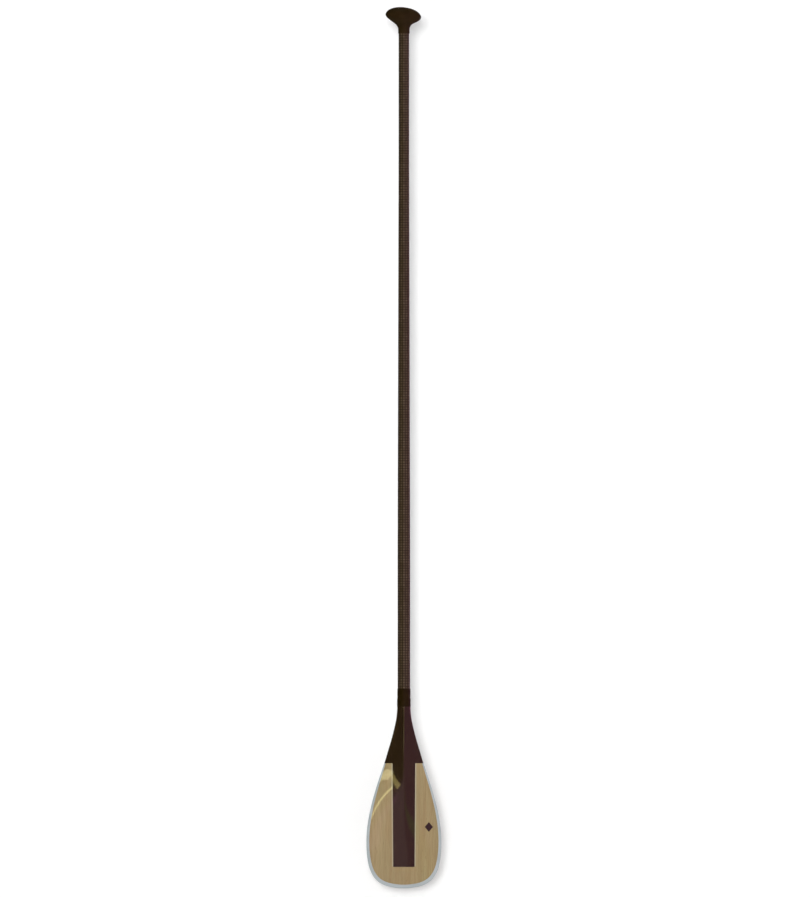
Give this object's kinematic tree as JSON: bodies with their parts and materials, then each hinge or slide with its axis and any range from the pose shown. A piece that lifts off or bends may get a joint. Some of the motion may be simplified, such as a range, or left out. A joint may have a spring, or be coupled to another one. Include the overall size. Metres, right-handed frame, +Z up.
{
  "type": "stand-up paddle",
  "caption": "One-piece stand-up paddle: laminated blade with bamboo veneer and carbon centre strip, tapered woven carbon shaft, and moulded palm grip.",
  "frame": {"origin": "on the shaft's axis at the upper edge of the joint sleeve, which is the lower end of the shaft's bare parallel length", "axes": "+Z up the shaft's axis from the blade to the grip; +X across the blade; the blade's power face looks towards -Y and its tip leans towards +Y"},
  "size_m": [0.1816, 0.0866, 2.1343],
  "materials": {
    "grip_plastic": "satin, near-black brown",
    "core_foam": "closed-cell foam",
    "plug_plastic": "moulded",
    "adhesive": "cured adhesive",
    "tube_laminate": "unidirectional laminate",
    "woven_carbon": "woven carbon under clear resin",
    "sleeve_film": "shrunk film",
    "spine_wood": "bare",
    "inner_laminate": "laminate",
    "clear_carbon": "unidirectional carbon under clear gloss",
    "bamboo_veneer": "bamboo veneer under clear gloss",
    "edge_plastic": "pale blue-grey, satin",
    "mark_ink": "printed"
  },
  "bodies": {
    "root": {"grip_front_shell": "grip_plastic", "grip_rear_shell": "grip_plastic", "grip_core": "core_foam", "grip_tenon": "plug_plastic", "grip_glue_film": "adhesive", "shaft_tube": "tube_laminate", "shaft_outer_ply": "woven_carbon", "shaft_plug_upper": "core_foam", "shaft_plug_lower": "core_foam", "joint_sleeve": "sleeve_film", "blade_tenon": "plug_plastic", "tenon_glue_film": "adhesive", "neck_core": "core_foam", "spine_stringer": "spine_wood", "blade_core_left": "core_foam", "blade_core_right": "core_foam", "inner_ply_front": "inner_laminate", "inner_ply_back": "inner_laminate", "carbon_front": "clear_carbon", "carbon_back": "clear_carbon", "veneer_front": "bamboo_veneer", "veneer_back": "bamboo_veneer", "edge_rail": "edge_plastic", "blade_mark": "mark_ink"}
  },
  "joints": []
}
